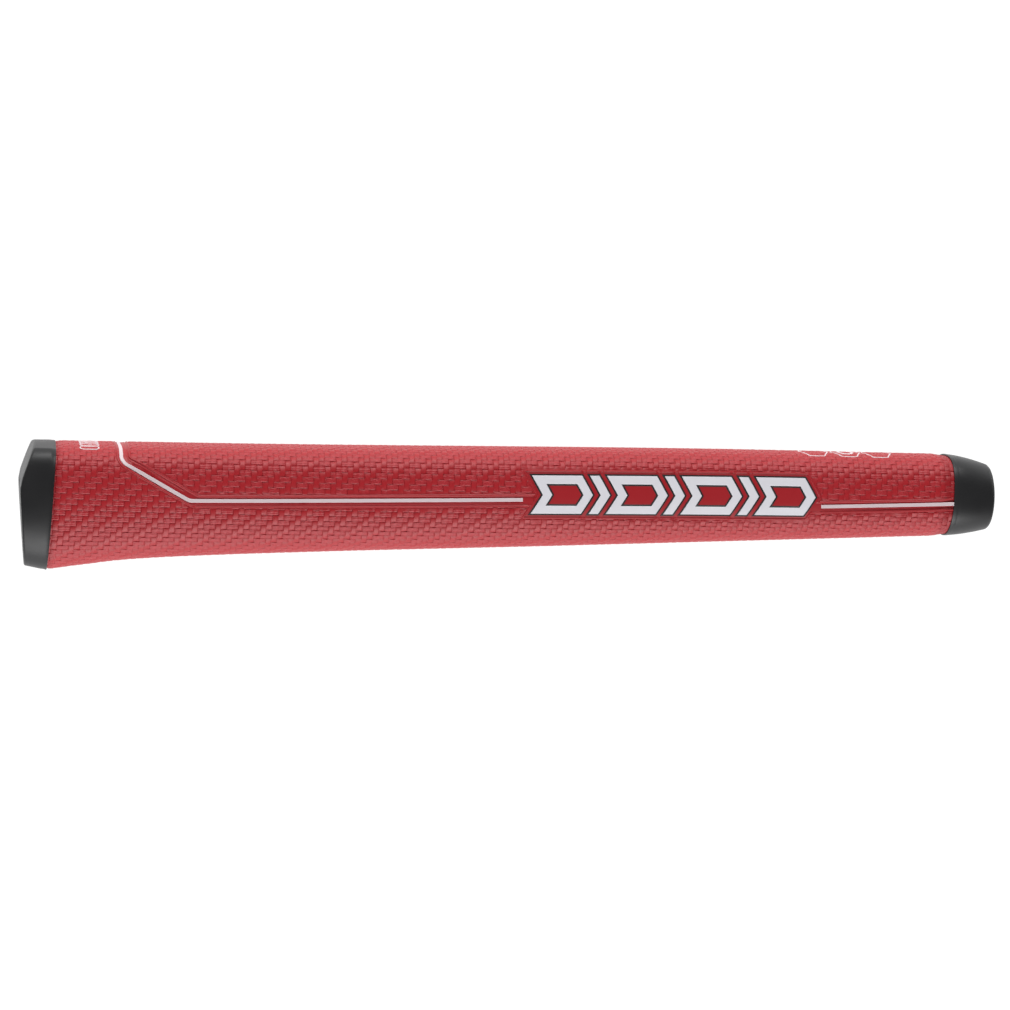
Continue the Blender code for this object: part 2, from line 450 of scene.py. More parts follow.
def parallel(points, offsets):
    """An open path moved to the left, each stretch by its own offset."""
    points = np.asarray(points, float)
    steps = unit(np.diff(points, axis=0))
    lefts = to_left(steps)
    starts = points[:-1] + lefts * np.array(offsets)[:, None]
    made = [starts[0]]
    for i in range(1, len(steps)):
        system = np.column_stack([steps[i - 1], -steps[i]])
        reach = np.linalg.solve(system, starts[i] - starts[i - 1])[0]
        made.append(starts[i - 1] + steps[i - 1] * reach)
    made.append(points[-1] + lefts[-1] * offsets[-1])
    return np.array(made)


def extended(points, by):
    """An open path made longer at both ends."""
    points = np.array(points, float)
    for end, inner in ((0, 1), (-1, -2)):
        out = points[end] - points[inner]
        points[end] += unit(out) * by
    return points


def mirrored(points):
    """The same path on the other side of the front's centreline."""
    return np.asarray(points, float) * np.array([1, -1])


def distance(where, points, closed):
    """From each of many places to the nearest point of a path."""
    following = np.roll(points, -1, axis=0) if closed else points[1:]
    nearest = np.full(len(where), np.inf)
    for a, b in zip(points, following):
        run = b - a
        share = np.clip((where - a) @ run / (run @ run), 0, 1)
        nearest = np.minimum(nearest, np.linalg.norm(where - a - share[:, None] * run, axis=1))
    return nearest


def inside(where, outline):
    """Which of many places lie inside a closed path."""
    found = np.zeros(len(where), bool)
    for a, b in zip(outline, np.roll(outline, -1, axis=0)):
        if a[1] == b[1]:
            continue
        spans = (a[1] > where[:, 1]) != (b[1] > where[:, 1])
        crossing = a[0] + (where[:, 1] - a[1]) * (b[0] - a[0]) / (b[1] - a[1])
        found ^= spans & (where[:, 0] < crossing)
    return found


# What is pressed into the skin. A pad or seam gives signed depths, negative inside it, and a rib heights.
# Each gives the contours that the mesh has to follow, as (path, whether it is closed, height).


class Pad:
    """A recess with a drawn outline."""

    levels = PAD_LEVELS

    def __init__(self, outline):
        x, y = np.asarray(outline, float).T
        anticlockwise = (x * np.roll(y, -1) - y * np.roll(x, -1)).sum() > 0
        self.outline = outline if anticlockwise else outline[::-1]

    def depth(self, where):
        low, high = self.outline.min(0) - KEEP_OUT, self.outline.max(0) + KEEP_OUT
        near = np.flatnonzero(((where > low) & (where < high)).all(1))
        away = distance(where[near], self.outline, True)
        found = np.full(len(where), np.inf)
        found[near] = np.where(inside(where[near], self.outline), -away, away)
        return found

    def contours(self):
        for level, height in self.levels:
            yield self.outline - across(self.outline, True) * level, True, height


class Seam:
    """The groove at the back, where the skin's two long edges are joined."""

    levels = SEAM_LEVELS

    def __init__(self, stops):
        self.stops = stops

    def depth(self, where):
        return surface.turn(where[:, 0]) - np.abs(where[:, 1]) - SEAM_HALF

    def contours(self):
        for level, height in self.levels:
            line = np.stack([self.stops, surface.turn(self.stops) - SEAM_HALF - level], -1)
            yield line, False, height
            yield mirrored(line), False, height


class Rib:
    """A thin raised line on the floor of a pad."""

    def __init__(self, path):
        self.path = np.asarray(path, float)

    def height(self, where):
        low, high = self.path.min(0) - RIB_HALF, self.path.max(0) + RIB_HALF
        near = np.flatnonzero(((where > low) & (where < high)).all(1))
        found = np.full(len(where), PAD_FLOOR)
        away = distance(where[near], self.path, False)
        found[near] = np.interp(away, (RIB_CREST, RIB_HALF), (RIB_TOP, PAD_FLOOR))
        return found

    def contours(self):
        for away, height in ((RIB_CREST, RIB_TOP), (RIB_HALF, PAD_FLOOR)):
            for side in (1, -1):
                yield self.path + across(self.path) * away * side, False, height


def float_height(a, b):
    """The height of the pressed twill at a cell position: floats run along the grip and round it in turn."""
    phase = np.mod(np.floor(a) + np.floor(b), 4)
    fa, fb = a - np.floor(a), b - np.floor(b)
    along = np.where(phase < 2, phase + fa, phase - 2 + fb)
    over = np.where(phase < 2, fb, fa)
    to_end, to_side = 1 - np.abs(along - 1), 0.5 - np.abs(over - 0.5)
    groove = END_GROOVE * (1 - smoothstep(to_end / BEVEL)) + SIDE_GROOVE * (1 - smoothstep(to_side / BEVEL))
    return CREST - ARCH * (along - 1) ** 2 - groove


def weave(where):
    """The twill's height at many places. A place in a groove takes the lower of the floats beside it."""
    cell = where / (CELL_U, CELL_V)
    steps = (-NUDGE, NUDGE)
    nudged = [float_height(cell[:, 0] + x, cell[:, 1] + y) for x in steps for y in steps]
    way_round = np.abs(where[:, 1]) / surface.turn(where[:, 0])
    fade = BACK_FADE * smoothstep((way_round - BACK_FADE_FROM) / (BACK_FADE_TO - BACK_FADE_FROM))
    return CREST - (CREST - np.min(nudged, axis=0)) * (1 - fade)


def relief(where, pads, ribs):
    """The height of the skin's surface at many places, and each one's signed depth in the nearest pad."""
    nearest = np.full(len(where), np.inf)
    sunk = np.full(len(where), np.inf)
    for pad in pads:
        depth = pad.depth(where)
        nearest = np.minimum(nearest, depth)
        sunk = np.minimum(sunk, np.where(depth < 0, np.interp(depth, *zip(*pad.levels)), np.inf))
    for rib in ribs:
        sunk = np.where(sunk < RIB_TOP, np.maximum(sunk, rib.height(where)), sunk)
    height = np.where(nearest < 0, sunk, weave(where))
    return height - turned_in(where[:, 0]), nearest


def turned_in(u):
    """How far the skin's surface has gone in towards its joints with the collar and the cap."""
    at_mouth = TURN_IN * smoothstep((u - SKIN_END) / TURN_IN_LENGTH + 1)
    return at_mouth + BUTT_TURN_IN * smoothstep(1 - (u - SKIN_START) / BUTT_TURN_IN_LENGTH)


def line_path():
    """The painted line from its end by the emblem, over the front and back to that end on the other side."""
    side = [LINE_START, LINE_CORNER, LINE_BEND]
    return np.vstack([side, LINE_FRONT, mirrored(side[::-1])])


def channels():
    """The pads and ribs along the painted lines."""
    path = extended(line_path(), CHANNEL_RUN_ON)
    near_radii = [max(radius - CHANNEL_IN[1], PAD_CORNER) for radius in LINE_RADII]
    far_radii = [radius + CHANNEL_OUT[1] for radius in LINE_RADII]
    near_wall = rounded(parallel(path, CHANNEL_IN), near_radii)
    far_wall = rounded(parallel(path, [-away for away in CHANNEL_OUT]), far_radii)
    pads = [Pad(resampled(np.vstack([near_wall, far_wall[::-1]]), CONTOUR_STEP, True))]
    rib_radii = [radius - RIB_IN / 2 for radius in LINE_RADII]
    crest = resampled(rounded(parallel(path, [RIB_IN] * len(CHANNEL_IN)), rib_radii), CONTOUR_STEP)
    ribs = [Rib(crest[crest[:, 0] < LINE_CORNER[0] - RIB_IN])]
    for side in (1, -1):
        ribs.append(side_rib([LINE_START, LINE_CORNER], side))
        ribs.append(side_rib([LINE_MOUTH_END, LINE_MOUTH_START], side))
        run = extended(np.array([LINE_MOUTH_START, LINE_MOUTH_END]), CHANNEL_RUN_ON) * (1, side)
        near, far = parallel(run, [CHANNEL_IN[0] * -side]), parallel(run, [CHANNEL_OUT[0] * side])
        pads.append(Pad(resampled(np.vstack([near, far[::-1]]), CONTOUR_STEP, True)))
    return pads, ribs


def side_rib(run, side):
    """The rib behind a straight stretch of the line, which runs towards the butt."""
    return Rib(resampled(parallel(run, [-RIB_OUT]) * (1, side), CONTOUR_STEP))


def link(x):
    """One link of the emblem, as a closed path with its vectors to the left. Its left stroke is at x."""
    rise, far = EMBLEM_RISE, x + LINK_WIDTH
    tip, notch = far + ARROW_RUN, x + ARROW_RUN
    path = np.array([(x, -rise), (far, -rise), (tip, 0), (far, rise), (x, rise), (notch, 0)])
    return path, across(path, True), True


def chevron(x, more):
    """One chevron as an open path with level ends, more longer at each end than the emblem's height."""
    reach = STROKE_HALF + more
    end = x - ARROW_RUN * reach / EMBLEM_RISE
    path = np.array([(end, -EMBLEM_RISE - reach), (x + ARROW_RUN, 0), (end, EMBLEM_RISE + reach)])
    lefts = across(path)
    lefts[0] = lefts[-1] = (-STROKE_SLANT, 0)
    return path, lefts, False


def emblem_strokes(more):
    """(path, lefts, closed) of each stroke, in the emblem's plane: x runs along the grip from its start."""
    pitch = 2 * STROKE_HALF * STROKE_SLANT + LINK_GAP
    x = STROKE_HALF * STROKE_SLANT
    for i in range(EMBLEM_LINKS):
        yield link(x)
        if i < EMBLEM_LINKS - 1:
            yield chevron(x + LINK_WIDTH + pitch, more)
        x += LINK_WIDTH + 2 * pitch


def on_side(points, side):
    """Points of the emblem's plane, placed on one side of the grip."""
    x, y = np.asarray(points, float).T
    return np.stack([EMBLEM_START + x, side * (EMBLEM_V + EMBLEM_SLOPE * x + y)], -1)


def emblem_pads():
    """A pad round each stroke. A link's pad fills its inside as well."""
    reach = STROKE_HALF + PAD_MARGIN
    pads = []
    for path, lefts, closed in emblem_strokes(PAD_MARGIN):
        left, right = path + lefts * reach, path - lefts * reach
        outline = softened(right if closed else np.vstack([left, right[::-1]]))
        pads += [Pad(on_side(outline, side)) for side in (1, -1)]
    return pads


def softened(outline):
    """A closed outline with its corners rounded and its straight stretches divided evenly."""
    return resampled(rounded(outline, PAD_CORNER, True), CONTOUR_STEP, True)


# The skin's mesh


def weave_lines(low, high, cell):
    """Positions across the weave's cells between low and high."""
    cells = np.arange(math.floor(low / cell), math.ceil(high / cell))
    lines = ((cells[:, None] + np.array(CELL_CUTS)) * cell).ravel()
    return lines[(lines > low + END_STEP) & (lines < high - END_STEP)]


def flattened(where):
    """Places of the unrolled skin, in millimetres, on a rectangle: the seam's two edges become straight."""
    return np.stack([where[:, 0] / MM, where[:, 1] / surface.turn(where[:, 0]) * PLANE_HALF], -1)


def unflattened(plane):
    u = plane[:, 0] * MM
    return np.stack([u, plane[:, 1] / PLANE_HALF * surface.turn(u)], -1)


def triangulated(where, edges):
    """(places, triangles, inputs): a triangulation of the unrolled skin that keeps the edges."""
    plane = [Vector(p) for p in flattened(where).tolist()]
    found = delaunay_2d_cdt(plane, edges, [], 0, PLANE_CLOSE)
    places = unflattened(np.array([tuple(p) for p in found[0]]))
    return places, np.array(found[2]), found[3]


def cut_at_rim(path):
    """The path with a point of its own wherever it crosses the skin's edge at the mouth."""
    u, following = path[:, 0], np.roll(path, -1, axis=0)
    crossing = np.flatnonzero((u - SKIN_END) * (following[:, 0] - SKIN_END) < 0)
    share = ((SKIN_END - u[crossing]) / (following[crossing, 0] - u[crossing]))[:, None]
    added = path[crossing] * (1 - share) + following[crossing] * share
    added[:, 0] = SKIN_END
    return np.insert(path, crossing + 1, added, axis=0)


def contour_points(pads, ribs):
    """Places and edges along every contour, left out where another pad has changed its height."""
    places, edges = [], []
    for shape in pads + ribs:
        for path, closed, height in shape.contours():
            path = cut_at_rim(path)
            found, _ = relief(path, pads, ribs)
            kept = np.abs(found + turned_in(path[:, 0]) - height) < SAME_HEIGHT
            kept &= path[:, 0] <= SKIN_END
            count = len(path)
            numbers = np.cumsum(kept) - 1 + len(places)
            for i in range(count if closed else count - 1):
                j = (i + 1) % count
                if kept[i] and kept[j]:
                    edges.append((int(numbers[i]), int(numbers[j])))
            places += list(path[kept])
    return np.array(places), edges


def cell_corners(grid):
    """The values at the four corners of each cell of a grid, in turn round the cell."""
    return np.stack([grid[:-1, :-1], grid[1:, :-1], grid[1:, 1:], grid[:-1, 1:]], -1)


def borders(numbers, free):
    """The grid's edges that have a free cell on one side only, as pairs of point numbers."""
    padded = np.pad(free, 1)
    for one, other, border in (
        (numbers[:-1, :], numbers[1:, :], padded[1:-1, :-1] != padded[1:-1, 1:]),
        (numbers[:, :-1], numbers[:, 1:], padded[:-1, 1:-1] != padded[1:, 1:-1]),
    ):
        yield from zip(one[border].tolist(), other[border].tolist())


def floor_points(grid, depth):
    """Points on the floors of wide pads, so that the floors follow the surface."""
    sparse = grid[::FLOOR_STRIDE, ::FLOOR_STRIDE]
    off_seam = np.abs(sparse[..., 1]) < surface.turn(sparse[..., 0]) - SEAM_HALF
    return sparse[(depth[::FLOOR_STRIDE, ::FLOOR_STRIDE] < FLOOR_FROM) & off_seam]


def in_free_cell(where, us, vs, free):
    """Which of many places the grid's own faces cover."""
    row = np.clip(np.searchsorted(us, where[:, 0]) - 1, 0, len(us) - 2)
    column = np.searchsorted(vs, where[:, 1]) - 1
    on_grid = (column >= 0) & (column < len(vs) - 1)
    return on_grid & free[row, np.clip(column, 0, len(vs) - 2)]


def outer_skin(pads, ribs):
    """The pressed surface: a grid over the weave, joined by triangles to the pads.

    Returns its places, heights, four-sided faces, triangles, and whether each point is on the weave."""
    us = np.concatenate([[SKIN_START], weave_lines(SKIN_START, SKIN_END, CELL_U), [SKIN_END]])
    widest = surface.half_turn.max()
    vs = weave_lines(-widest, widest, CELL_V)
    pads = pads + [Seam(us)]
    grid = np.stack(np.meshgrid(us, vs, indexing="ij"), -1)
    rows, columns = grid.shape[:2]
    grid_places = grid.reshape(-1, 2)
    heights, depth = relief(grid_places, pads, ribs)
    depth = depth.reshape(rows, columns)
    clear = depth > KEEP_OUT
    free = cell_corners(clear).all(-1)
    numbers = np.arange(rows * columns).reshape(rows, columns)
    quads = cell_corners(numbers)[free]

    inner = cell_corners(np.pad(free, 1)).all(-1)
    joints = np.flatnonzero(clear & ~inner)
    at = {int(number): i for i, number in enumerate(joints)}
    edges = [(at[a], at[b]) for a, b in borders(numbers, free) if a in at and b in at]
    drawn, drawn_edges = contour_points(pads, ribs)
    edges += [(a + len(joints), b + len(joints)) for a, b in drawn_edges]
    seam = [np.stack([us, side * surface.turn(us)], -1) for side in (1, -1)]
    wanted = np.vstack([grid_places[joints], drawn, *seam, floor_points(grid, depth)])
    found, triangles, inputs = triangulated(wanted, edges)
    triangles = triangles[~in_free_cell(found[triangles].mean(1), us, vs, free)]

    new = rows * columns + np.arange(len(found))
    for i, sources in enumerate(inputs):
        same = [source for source in sources if source < len(joints)]
        if same:
            new[i] = joints[same[0]]
    found_heights, found_depth = relief(found, pads, ribs)
    places = np.vstack([grid_places, found])
    heights = np.concatenate([heights, found_heights])
    on_weave = np.concatenate([depth.ravel(), found_depth]) > 0
    return places, heights, quads.tolist(), new[triangles].tolist(), on_weave


def pressed_skin():
    """The skin as one closed shell: the pressed surface, a plain inner surface, and walls at the two rims."""
    pads, ribs = channels()
    pads += emblem_pads()
    places, heights, quads, triangles, on_weave = outer_skin(pads, ribs)
    used = np.unique(np.concatenate([np.ravel(quads), np.ravel(triangles)]))
    rims = []
    for u in (SKIN_START, SKIN_END):
        rim = used[np.abs(places[used, 0] - u) < ON_RIM]
        rims.append(rim[np.argsort(places[rim, 1])].tolist())
    inner, inner_triangles, inputs = inner_skin([places[rim] for rim in rims])
    number = {source: i + len(places) for i, sources in enumerate(inputs) for source in sources}
    faces = quads + triangles
    first = 0
    for rim in rims:
        below = [number[first + k] for k in range(len(rim))]
        faces += [(rim[k], rim[k + 1], below[k + 1], below[k]) for k in range(len(rim) - 1)]
        first += len(rim)
    faces += (inner_triangles + len(places)).tolist()

    outer_points = surface.lift(*places.T, heights)
    inner_points = surface.lift(*inner.T, np.full(len(inner), -SKIN))
    woven = np.concatenate([on_weave, np.zeros(len(inner), bool)])
    # Painted shade in the colour: darkest in the weave's grooves at the floats' ends, none on the crests, and
    # a set share of it on the pads and the inner side.
    low = np.concatenate([heights, np.full(len(inner), PAD_FLOOR)])
    sunk = np.clip((CREST - low) / (ARCH + END_GROOVE), 0, 1)
    unshaded = np.where(woven, 1 - sunk ** 2, PAD_UNSHADED)
    points = np.vstack([outer_points, inner_points])
    return shell("embossed_skin", points, faces, np.vstack([places, inner]), woven, unshaded)


def inner_skin(rims):
    """A triangulation of the skin's plain inner side, which starts and ends at the points of the two rims."""
    stations = np.linspace(SKIN_START, SKIN_END, INNER_STATIONS)[1:-1]
    shares = np.linspace(-1, 1, INNER_AROUND)
    grid = np.stack(np.meshgrid(stations, shares, indexing="ij"), -1).reshape(-1, 2)
    grid[:, 1] *= surface.turn(grid[:, 0])
    return triangulated(np.vstack([*rims, grid]), [])


def shell(name, points, faces, flat, woven, unshaded):
    """The skin's object. Its attribute weave holds each point's cell position and whether it is on the weave,
    and its second attribute its painted shade, from 0, darkest, in the weave's grooves to 1, none, on its
    crests."""
    mesh = bpy.data.meshes.new(name)
    mesh.from_pydata(points.tolist(), [], faces)
    cells = np.column_stack([flat[:, 0] / CELL_U, flat[:, 1] / CELL_V, woven])
    mesh.attributes.new("weave", "FLOAT_VECTOR", "POINT").data.foreach_set("vector", cells.ravel())
    mesh.attributes.new("unshaded", "FLOAT", "POINT").data.foreach_set("value", unshaded)
    return placed(name, mesh, red_skin(), SKIN_SHARP)


def new_object(name, data):
    made = bpy.data.objects.new(name, data)
    bpy.context.scene.collection.objects.link(made)
    return made


def placed(name, mesh, finish, sharp):
    """An object for a mesh, cleaned up and with its faces turned outwards, riding on the grip's one body."""
    bm = bmesh.new()
    bm.from_mesh(mesh)
    bmesh.ops.delete(bm, geom=[v for v in bm.verts if not v.link_faces], context="VERTS")
    bmesh.ops.remove_doubles(bm, verts=bm.verts, dist=WELD)
    bmesh.ops.recalc_face_normals(bm, faces=bm.faces)
    bm.to_mesh(mesh)
    bm.free()
    mesh.shade_smooth()
    mesh.set_sharp_from_angle(angle=math.radians(sharp))
    material, slot = finish
    mesh.materials.append(material)
    made = new_object(name, mesh)
    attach(made, "root")
    return made


def solid(name, loops, closed, finish):
    """A solid whose surface runs through the loops of points in turn and back to the first.

    Closed loops make a ring-shaped chain. Open ones run along the piece, and its two ends are filled."""
    loops = np.asarray(loops)
    count, length = loops.shape[:2]
    number = np.arange(count * length).reshape(count, length).tolist()
    faces = []
    for i in range(count):
        a, b = number[i], number[(i + 1) % count]
        for j in range(length if closed else length - 1):
            k = (j + 1) % length
            faces.append((a[j], a[k], b[k], b[j]))
    if not closed:
        faces += [[row[0] for row in number], [row[-1] for row in reversed(number)]]
    mesh = bpy.data.meshes.new(name)
    mesh.from_pydata(loops.reshape(-1, 3).tolist(), [], faces)
    return placed(name, mesh, finish, SOLID_SHARP)


# Paint


def paint(name, path, lefts, closed, half, top, finish, side=None, bottom=PAINT_BOTTOM):
    """A strip of paint along a path, as a thin solid that starts below the pad's floor."""
    path, lefts = np.hsplit(resampled(np.hstack([path, lefts]), PATH_STEP, closed), 2)
    offsets = (half, half, half - PAINT_EDGE, PAINT_EDGE - half, -half, -half)
    heights = (bottom, top - PAINT_EDGE, top, top, top - PAINT_EDGE, bottom)
    loops = []
    for offset, height in zip(offsets, heights):
        track = path + lefts * offset
        if side is not None:
            track = on_side(track, side)
        loops.append(surface.lift(*track.T, np.full(len(track), height)))
    return solid(name, loops, closed, finish)


def painted_lines(white):
    paths = {"wrap": rounded(line_path(), LINE_RADII, steps=10)}
    for side, word in SIDES:
        paths[f"mouth_{word}"] = np.array([LINE_MOUTH_START, (SKIN_END, LINE_MOUTH_END[1])]) * (1, side)
    for name, path in paths.items():
        path = resampled(path, PATH_STEP)
        paint(f"painted_line_{name}", path, across(path), False, LINE_HALF, PAINT_TOP, white)


def emblem(white, dark):
    layers = ("edge", INK_EDGE, INK_TOP, dark), ("fill", 0.0, PAINT_TOP, white)
    for side, word in SIDES:
        for kind, more, top, finish in layers:
            for i, (path, lefts, closed) in enumerate(emblem_strokes(more)):
                name = f"emblem_{kind}_{word}_{i + 1}"
                paint(name, path, lefts, closed, STROKE_HALF + more, top, finish, side)


def marks(white):
    """Small links side by side near the butt, and hexagons in a row near the mouth, one inside the second."""
    size = np.array([(BUTT_MARK_TO - BUTT_MARK_FROM) / 2, BUTT_MARK_SHARE * BUTT_MARK_PITCH])
    for i in range(BUTT_MARKS):
        middle = (BUTT_MARK_FROM + BUTT_MARK_TO) / 2, (i - (BUTT_MARKS - 1) / 2) * BUTT_MARK_PITCH
        corners = np.array(SQUARE) * size + middle
        mark(f"butt_mark_{i + 1}", rounded(corners, BUTT_MARK_ROUND * size[1], True), MARK_HALF, white)
    hexagon = np.array(HEXAGON) * (MOUTH_MARK_LENGTH / 2, MOUTH_MARK_WIDTH / 2)
    for i, u in enumerate(MOUTH_MARKS):
        mark(f"mouth_mark_{i + 1}", rounded(hexagon + (u, 0), PAD_CORNER, True), MARK_HALF, white)
        if i == 1:
            mark("mouth_mark_centre", hexagon / 2 + (u, 0), 2 * MARK_HALF, white)


def mark(name, corners, half, white):
    path = resampled(corners, PATH_STEP / 2, True)
    paint(name, path, across(path, True), True, half, MARK_TOP, white, bottom=-ARCH)


# Rubber ends


def leaning(u):
    return lambda y: u + lean(u) * y


def ring(outline, along):
    """An outline of (y, z) in the frame. along is u, or gives u from y."""
    y, z = outline
    u = along(y) if callable(along) else np.full(len(y), along)
    return place(u, y, z)


def circle(radius):
    return section(radius, radius, radius, 2, ANGLES)


def cap_outline(proud, front_proud, squared=1.0):
    """The cap's outline, which has a crowned flat at the front between two creases.

    squared is 0 where the cap meets the skin, and 1 where its front half has its full squareness."""
    to_front = front(BUTT_JOINT) + front_proud
    power = front_power(BUTT_JOINT) * (1 - squared) + CAP_POWER * squared
    size = half_width(BUTT_JOINT) + proud, to_front, back(BUTT_JOINT) + proud - CAP_SHALLOWER, power
    y, z = section(*size, ANGLES)
    crease_y, crease_z = section(*size, np.array([CREASE]))
    flat = (ANGLES > CREASE) & (ANGLES < math.pi - CREASE)
    y[flat] = to_front - (to_front - crease_y[0]) * np.abs(z[flat] / crease_z[0]) ** CAP_CROWN
    return y, z


def end_face(y):
    slope = np.where(y > 0, CAP_FRONT_SLOPE, CAP_BACK_SLOPE)
    return slope * (np.hypot(y, CAP_RIDGE) - CAP_RIDGE)


def quarter_turn(count):
    """How far across and how far along a rounded edge each of its rings is, as (gone, left) shares."""
    for turn in np.linspace(0, math.pi / 2, count + 1):
        yield 1 - math.cos(turn), 1 - math.sin(turn)


def butt_cap(rubber):
    """The cap, from the lip that meets the skin over its end face, and through the vent to its spigot."""
    joint = leaning(BUTT_JOINT)
    rings = [ring(cap_outline(CAP_PROUD - CAP_EDGE, CAP_FRONT - CAP_EDGE, 0.0), joint)]
    rings.append(ring(cap_outline(CAP_PROUD, CAP_FRONT, 0.0), lambda y: joint(y) - CAP_EDGE))
    for share in np.linspace(0, 1, LIP_RINGS + 1)[1:]:
        outline = cap_outline(CAP_PROUD * (1 - share) ** 2, CAP_FRONT, smoothstep(share))
        rings.append(ring(outline, lambda y: joint(y) - CAP_LIP * share))
    for gone, left in quarter_turn(ROUND_RINGS):
        outline = cap_outline(-CAP_BACK - CAP_RIM * gone, CAP_FRONT - CAP_RIM * gone)
        rings.append(ring(outline, lambda y: end_face(y) + CAP_RIM * left))
    for share in FACE_SHARES:
        rings.append(ring(np.array(outline) * share, end_face))
    for gone, left in quarter_turn(VENT_RINGS):
        rings.append(ring(circle(VENT + VENT_ROUND * left), lambda y: end_face(y) + VENT_ROUND * gone))
    for radius, u in ((VENT, CAP_STOP), (BORE_BUTT, CAP_STOP), (BORE_BUTT, SPIGOT_END), (SPIGOT, SPIGOT_END)):
        rings.append(ring(circle(radius), u))
    rings.append(ring(circle(SPIGOT), joint))
    made = solid("moulded_butt_cap", rings, True, rubber)
    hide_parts("butt_cap")


def collar_outline(u, sunk=0.0):
    """The collar's outside: the grip's section at the joint, blending to a circle at the mouth."""
    share = ((u - MOUTH_JOINT) / (LENGTH - MOUTH_JOINT)) ** COLLAR_BULGE
    at_joint = np.array([f(MOUTH_JOINT) for f in (half_width, front, back, front_power)])
    at_mouth = np.array([MOUTH, MOUTH, MOUTH, 2])
    size = at_joint + (at_mouth - at_joint) * share - np.array([1, 1, 1, 0]) * sunk
    return section(*size, ANGLES)


def mouth_collar(rubber):
    """The collar, with a rounded band beside the skin and a rounded edge round the mouth."""
    rings = []
    for share in np.linspace(0, 1, BAND_RINGS + 1):
        u = MOUTH_JOINT + COLLAR_BAND * share
        sunk = COLLAR_BAND_RISE * ((2 * share - 1) ** 4 - 0.5)
        rings.append(ring(collar_outline(u, sunk), u))
    last = LENGTH - MOUTH_ROUND
    for u in np.linspace(MOUTH_JOINT + COLLAR_BAND + TAPER_START, last, TAPER_RINGS):
        rings.append(ring(collar_outline(u), u))
    for gone, left in list(quarter_turn(MOUTH_RINGS))[1:]:
        rings.append(ring(circle(MOUTH - MOUTH_ROUND * gone), LENGTH - MOUTH_ROUND * left))
    for gone, left in quarter_turn(VENT_RINGS):
        rings.append(ring(circle(BORE_MOUTH + VENT_ROUND * left), LENGTH - VENT_ROUND * gone))
    rings.append(ring(circle(BORE_MOUTH), NOSE_END + GAP))
    rings.append(ring(circle(NOSE + GAP), NOSE_END + GAP))
    rings.append(ring(circle(NOSE + GAP), MOUTH_JOINT))
    made = solid("moulded_mouth_collar", rings, True, rubber)
    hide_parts("mouth_collar")


# Materials. Those of new pieces come with the record's slot that each one stands for.


class Nodes:
    """Short calls for building one material's node tree."""

    MIX_INPUTS = (0, 6, 7)  # a Mix node's sockets for the factor and for two colours
    MIX_RESULT = 2

    def __init__(self, name):
        self.material = bpy.data.materials.new(name)
        self.material.use_nodes = True
        self.tree = self.material.node_tree
        self.shader = self.tree.nodes["Principled BSDF"]

    def add(self, kind, **values):
        node = self.tree.nodes.new("ShaderNode" + kind)
        for name, value in values.items():
            setattr(node, name, value)
        return node

    def feed(self, socket, value):
        if isinstance(value, bpy.types.NodeSocket):
            self.tree.links.new(value, socket)
        else:
            socket.default_value = value

    def math(self, operation, *inputs):
        node = self.add("Math", operation=operation)
        for socket, value in zip(node.inputs, inputs):
            self.feed(socket, value)
        return node.outputs[0]

    def blend(self, factor, a, b):
        """The colour between a and b."""
        node = self.add("Mix", data_type="RGBA")
        for number, value in zip(self.MIX_INPUTS, (factor, a, b)):
            self.feed(node.inputs[number], value)
        return node.outputs[self.MIX_RESULT]

    def noise(self, scale, detail=3.0, roughness=0.5):
        """Noise with about as many features in a metre as scale says."""
        node = self.add("TexNoise")
        self.fill(node, Vector=self.add("TexCoord").outputs["Object"])
        self.fill(node, Scale=scale, Detail=detail, Roughness=roughness)
        return node.outputs["Fac"]

    def between(self, value, low, high, to_low, to_high):
        node = self.add("MapRange")
        for socket, given in zip(node.inputs, (value, low, high, to_low, to_high)):
            self.feed(socket, given)
        return node.outputs[0]

    def bump(self, height, distance, strength=1.0):
        node = self.add("Bump")
        self.fill(node, Height=height, Distance=distance, Strength=strength)
        self.set(Normal=node.outputs["Normal"])

    def fill(self, node, **values):
        for name, value in values.items():
            self.feed(node.inputs[name.replace("_", " ")], value)

    def set(self, **values):
        self.fill(self.shader, **values)


